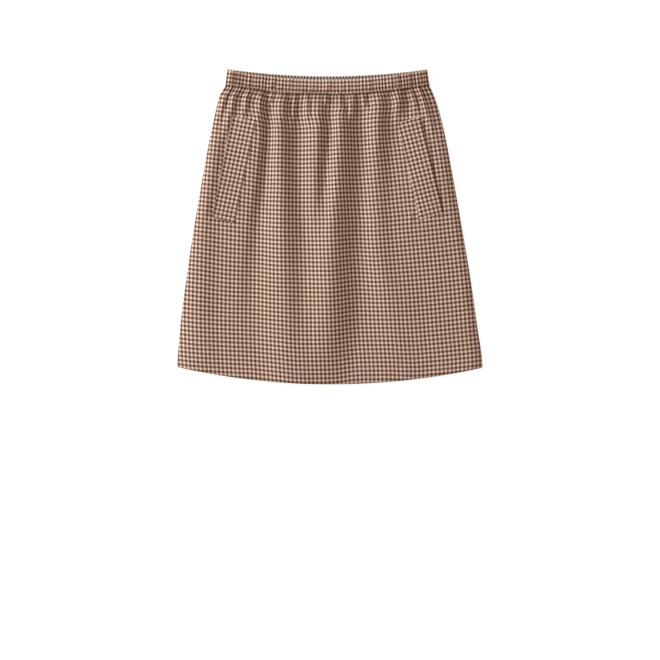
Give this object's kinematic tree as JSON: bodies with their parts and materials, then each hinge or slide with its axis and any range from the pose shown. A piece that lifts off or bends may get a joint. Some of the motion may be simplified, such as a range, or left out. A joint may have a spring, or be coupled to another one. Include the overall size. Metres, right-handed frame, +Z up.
{
  "type": "mini skirt",
  "caption": "Pull-on mini skirt in a small brown and cream check, gathered on an elastic waistband, with slanted welt pockets, laid flat with its front up.",
  "frame": {"origin": "under the middle of the laid skirt's outline, on the surface that it lies on", "axes": "+Z up off the surface, out of the front; +Y from the hem to the waist; +X to the right as seen from above the front"},
  "size_m": [0.488, 0.504, 0.0225],
  "materials": {
    "check_cotton": "matt plain-weave cotton in a small brown and cream check",
    "check_cotton_back": "the same matt check cotton, on the back"
  },
  "bodies": {
    "root": {"front_panel": "check_cotton", "back_panel": "check_cotton_back", "waistband_front": "check_cotton", "waistband_back": "check_cotton_back", "pocket_welt_left": "check_cotton", "pocket_welt_right": "check_cotton"}
  },
  "joints": []
}
